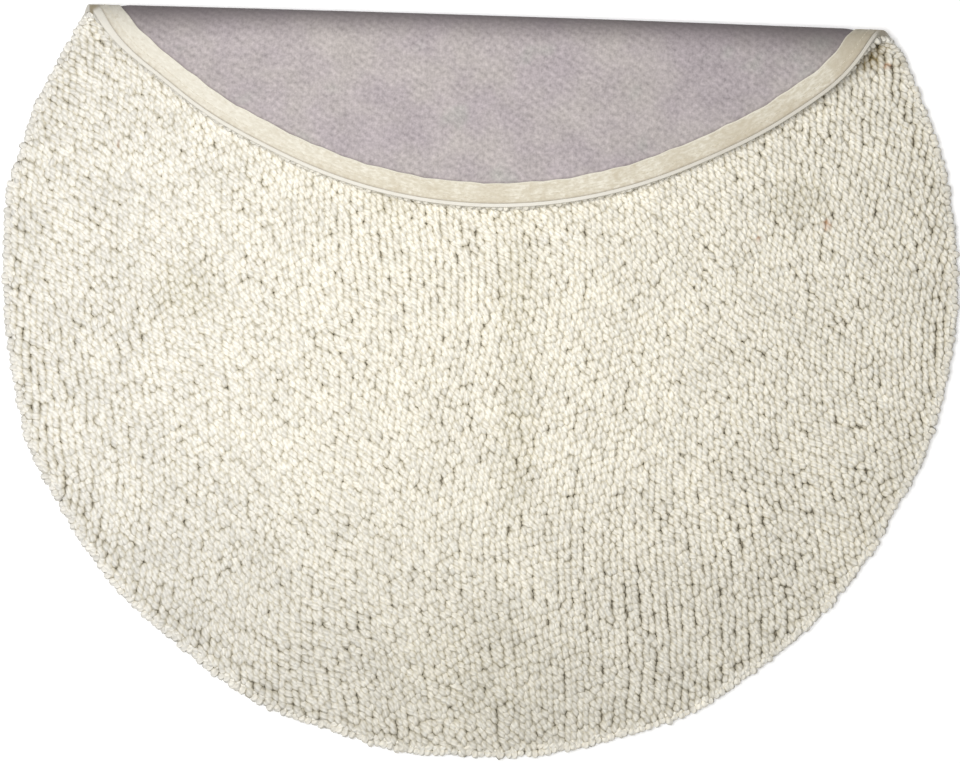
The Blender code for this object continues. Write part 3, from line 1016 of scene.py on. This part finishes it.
def yarn_finish():
    finish = Finish("ivory_wool_yarn", Roughness=0.92, Metallic=0.0)
    place = finish.attribute("flat_place")
    strand_place = finish.attribute("yarn_place")
    tone = finish.attribute("loop_tone", "Fac")
    turned = {"Vector": strand_place, "Angle": math.radians(STRAND_DEG)}
    slant = finish.node("ShaderNodeVectorRotate", {"rotation_type": "Z_AXIS"}, turned)
    bands = {"wave_type": "BANDS", "bands_direction": "Y"}
    twist = {"Vector": slant, "Scale": STRAND_SCALE, "Distortion": STRAND_WANDER}
    strands = finish.node("ShaderNodeTexWave", bands, twist, "Fac")
    fuzz = finish.noise(strand_place, FUZZ)
    patches = finish.noise(finish.scaled(place, (1.0, 1.0, 0.0)), PATCHES)
    tint = finish.step(finish.noise(place, TINTS), *TINT_EDGE)
    yarn = finish.mix(tint, YARN_WARM, YARN_COOL)
    # The yarn is lighter and cooler towards the left.
    yarn_lighter_left = 1 - finish.step(finish.part(place, "X"), *YARN_LIGHTER_SIDE)
    yarn = finish.mix(0.8 * yarn_lighter_left, yarn, YARN_LEFT_TINT)
    # Painted shade: down between the loops the yarn is mixed towards a darker olive brown.
    deep = 1 - finish.step(finish.part(place, "Z"), *DEEP_SHADE_EDGE)
    yarn = finish.mix(deep, yarn, YARN_DEEP_SHADE)
    for yarn_spot in YARN_STAINS_AND_SHADE:
        spot = finish.spot(place, yarn_spot.u, yarn_spot.v, yarn_spot.across, yarn_spot.along)
        yarn = finish.mix(yarn_spot.strength * (spot * (0.3 + 0.7 * deep)), yarn, yarn_spot.colour)
    shade = tone * ((0.86 + 0.17 * strands + 0.05 * fuzz) * (0.875 + 0.25 * patches))
    finish.colour(finish.shaded(yarn, shade))
    finish.relief(0.7 * strands + 0.3 * fuzz, YARN_RELIEF)
    return finish


yarn = yarn_finish()

# %% The loops that show
LOOP_RINGS = (Ring(0.00, 1.00), Ring(0.67, 1.48), Ring(0.81, 1.00), Ring(0.94, 0.55))
RIM_RINGS = (Ring(0.00, 1.00), Ring(0.45, 1.20), Ring(0.76, 1.00), Ring(0.94, 0.60))
LOOP_SIDES = 7
HIDDEN_RINGS = (Ring(0.05, 0.80), Ring(0.60, 1.00))
HIDDEN_SIDES = 6
LUMPINESS = 0.12
LOOPS_A_PIECE = 2900


def loops(name, shapes, rings, sides, tones, lowest=0.0):
    """A piece of many loops, with what the yarn's finish needs to know of each point."""
    lumps = 1 + LUMPINESS * rng.uniform(-1, 1, (len(tones), len(rings), sides))
    flat = ringed(shapes, rings, sides, lumps)
    points = flat.shape[1]
    heights = np.array([*np.repeat([ring.height for ring in rings], sides), 1.0])
    place = flat.copy()
    place[..., 2] = lowest + (1 - lowest) * heights
    from_root = flat - shapes.root[:, None, :]
    unit_along = shapes.along / np.linalg.norm(shapes.along, axis=1)[:, None]
    unit_across = shapes.across / np.linalg.norm(shapes.across, axis=1)[:, None]
    strand = np.stack(
        [
            np.einsum("nkc,nc->nk", from_root, unit_across),
            np.einsum("nkc,nc->nk", from_root, unit_along),
            from_root[..., 2],
        ],
        axis=-1,
    )
    strand = strand + rng.uniform(-1, 1, (len(tones), 1, 3))
    extra = {"flat_place": place, "yarn_place": strand, "loop_tone": np.repeat(tones, points)}
    return many(name, flat, ringed_faces(len(tones), rings, sides), yarn, extra)


def chosen(shapes, which):
    return Shapes(*(part[which] for part in shapes))


all_loops = Shapes(root, axis, along, across)
showing = np.flatnonzero(~covered)
showing = showing[np.argsort(loop_v[showing], kind="stable")]
yarn_pieces = []
shares = np.array_split(showing, math.ceil(showing.size / LOOPS_A_PIECE))
for number, which in enumerate(shares, 1):
    shapes = chosen(all_loops, which)
    piece = loops(f"loop_pile_{number}", shapes, LOOP_RINGS, LOOP_SIDES, loop_tone[which])
    yarn_pieces.append(piece)
which = np.flatnonzero(covered)
shapes = chosen(all_loops, which)
covered_pile = loops("covered_pile", shapes, HIDDEN_RINGS, HIDDEN_SIDES, loop_tone[which])
yarn_pieces.append(covered_pile)

# %% [markdown]
# ## Loops round the rim
#
# The last loops have no neighbour to hold them up, so they lean out over the edge band and make the
# rug's knobbly outline. At the ends of the fold the cloth turns upwards and they splay further.

# %% The rim's loops
RIM_PITCH = 0.0082
RIM_SHADE_TONE = 0.93
RIM_SHAKE_ROUND = 0.0015
RIM_SHAKE_OUT = 0.0006
RIM_TILT_SPREAD = 7
RIM_HEIGHT_VARIES = (0.80, 1.14)
RIM_WIDTH_VARIES = (0.9, 1.12)
RIM_LENGTH_VARIES = (0.80, 1.0)
SPLAY_BEFORE = 0.01
FLAP_SHORT_RUN = 0.03
FLAP_SHORT_AT = (0.15, 0.60)
FLAP_SHORT = (0.10, 0.35)
RimRow = namedtuple("RimRow", "radius w height tilt_deg offset")
RIM_ROWS = (
    RimRow(0.5870, 0.0045, 0.0095, 26, 0.0),
    RimRow(0.5905, 0.0080, 0.0098, 60, 0.5),
)
SPLAY = 0.45
RIM_YARN_HEIGHT = 0.86


def rim_loops(number, rim):
    """One row of loops round the rim, leaning outwards."""
    many_round = round(math.tau * rim.radius / RIM_PITCH)
    angle = (np.arange(many_round) + rim.offset) * math.tau / many_round
    angle = angle + rng.normal(0, RIM_SHAKE_ROUND, many_round)
    v = rim.radius * np.sin(angle)
    at_fold = soft_step(v, BEND_START - SPLAY_BEFORE, CREASE_V)
    at_fold = at_fold * (1 - soft_step(v, CREASE_V, BEND_END))
    tilt = np.radians(rim.tilt_deg + rng.normal(0, RIM_TILT_SPREAD, many_round))[:, None]
    height = rim.height * rng.uniform(*RIM_HEIGHT_VARIES, many_round) * (1 + SPLAY * at_fold)
    short = np.interp(np.cos(angle), FLAP_SHORT_AT, FLAP_SHORT)
    height = height * (1 - short * soft_step(v, BEND_END, BEND_END + FLAP_SHORT_RUN))
    out = np.column_stack([np.cos(angle), np.sin(angle), np.zeros(many_round)])
    on = np.column_stack([-np.sin(angle), np.cos(angle), np.zeros(many_round)])
    wide = 0.5 * LOOP_WIDTH * rng.uniform(*RIM_WIDTH_VARIES, many_round)[:, None]
    long = 0.5 * LOOP_LENGTH * rng.uniform(*RIM_LENGTH_VARIES, many_round)[:, None]
    shapes = Shapes(
        out * (rim.radius + rng.normal(0, RIM_SHAKE_OUT, many_round))[:, None] + up * rim.w,
        (np.sin(tilt) * out + np.cos(tilt) * up) * height[:, None],
        on * long,
        (np.cos(tilt) * out - np.sin(tilt) * up) * wide,
    )
    # Painted shade: the rim's loops are a little darker, for the shade along the rug's outline.
    tones = rng.normal(RIM_SHADE_TONE, TONE_SPREAD, many_round)
    return loops(f"rim_loops_{number}", shapes, RIM_RINGS, LOOP_SIDES, tones, RIM_YARN_HEIGHT)


yarn_pieces += [rim_loops(number, rim) for number, rim in enumerate(RIM_ROWS, 1)]

# %% [markdown]
# ## Riding and replacing
#
# Every piece rides on the rug's one body and stands for the solid in whose place it lies.

# %% Tie the pieces to the frame
for piece in (ground_cloth, *yarn_pieces):
    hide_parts("pile_carpet")
for piece, node, slot in (
    (felt_backing, "backing_cloth", "backing"),
    (sewn_tape, "binding_tape", "tape"),
    (tape_stitches, "binding_tape", "tape"),
    (white_edge_band, "edge_binding", "edge"),
):
    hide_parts(node)
for piece in (ground_cloth, *yarn_pieces, felt_backing, sewn_tape, tape_stitches, white_edge_band):
    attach(piece, "root")

print("triangles in all:", sum(total_triangles.values()))

# %% [markdown]
# ## Floor, light and camera
#
# The rug lies on a white floor that glows faintly, so that it stays white round the rug. A large
# soft light hangs high, a little to the left, and a small one hangs lower, over the middle. The
# camera looks straight down, and the Standard view keeps whites white.

# %% Floor
FLOOR_SIDE = 14.0
FLOOR_WHITE = (0.92, 0.92, 0.92, 1.0)
FLOOR_GLOW = 0.30
floor_mesh = bmesh.new()
bmesh.ops.create_grid(floor_mesh, x_segments=1, y_segments=1, size=FLOOR_SIDE / 2)
floor_data = bpy.data.meshes.new("studio_floor")
floor_mesh.to_mesh(floor_data)
floor_mesh.free()
studio = Finish(
    "studio_white",
    Roughness=0.9,
    Metallic=0.0,
    Base_Color=FLOOR_WHITE,
    Emission_Color=FLOOR_WHITE,
    Emission_Strength=FLOOR_GLOW,
)
floor_data.materials.append(studio.material)
floor = bpy.data.objects.new("studio_floor", floor_data)
bpy.context.scene.collection.objects.link(floor)

# %% Light
Softbox = namedtuple("Softbox", "name place side watts")
SOFTBOXES = (
    Softbox("key_softbox", (-0.6, -0.3, 3.9), 2.2, 103.0),
    Softbox("near_softbox", (-0.22, 0.04, 1.15), 0.7, 8.8),
)
WORLD_WHITE = (1.0, 1.0, 1.0, 1.0)
WORLD_LIGHT = 0.10
for box in SOFTBOXES:
    lamp = bpy.data.lights.new(box.name, "AREA")
    lamp.shape = "SQUARE"
    lamp.size = box.side
    lamp.energy = box.watts
    rig = bpy.data.objects.new(box.name, lamp)
    rig.location = box.place
    rig.rotation_euler = Vector(box.place).to_track_quat("Z", "Y").to_euler()
    rig.visible_camera = False
    bpy.context.scene.collection.objects.link(rig)
world = bpy.data.worlds.new("studio")
world.use_nodes = True
background = world.node_tree.nodes["Background"]
background.inputs["Color"].default_value = WORLD_WHITE
background.inputs["Strength"].default_value = WORLD_LIGHT
bpy.context.scene.world = world
bpy.context.scene.view_settings.view_transform = "Standard"

# %% Camera
CAMERA_PLACE = (0.0033, -0.1256, 3.352)
CAMERA_ROLL = math.radians(1.87)
LENS = 100.0
FILM_WIDTH = 36.0
camera_data = bpy.data.cameras.new("camera")
camera_data.lens = LENS
camera_data.sensor_width = FILM_WIDTH
camera = bpy.data.objects.new("camera", camera_data)
camera.location = CAMERA_PLACE
camera.rotation_euler = (0.0, 0.0, CAMERA_ROLL)
bpy.context.scene.collection.objects.link(camera)
bpy.context.scene.camera = camera
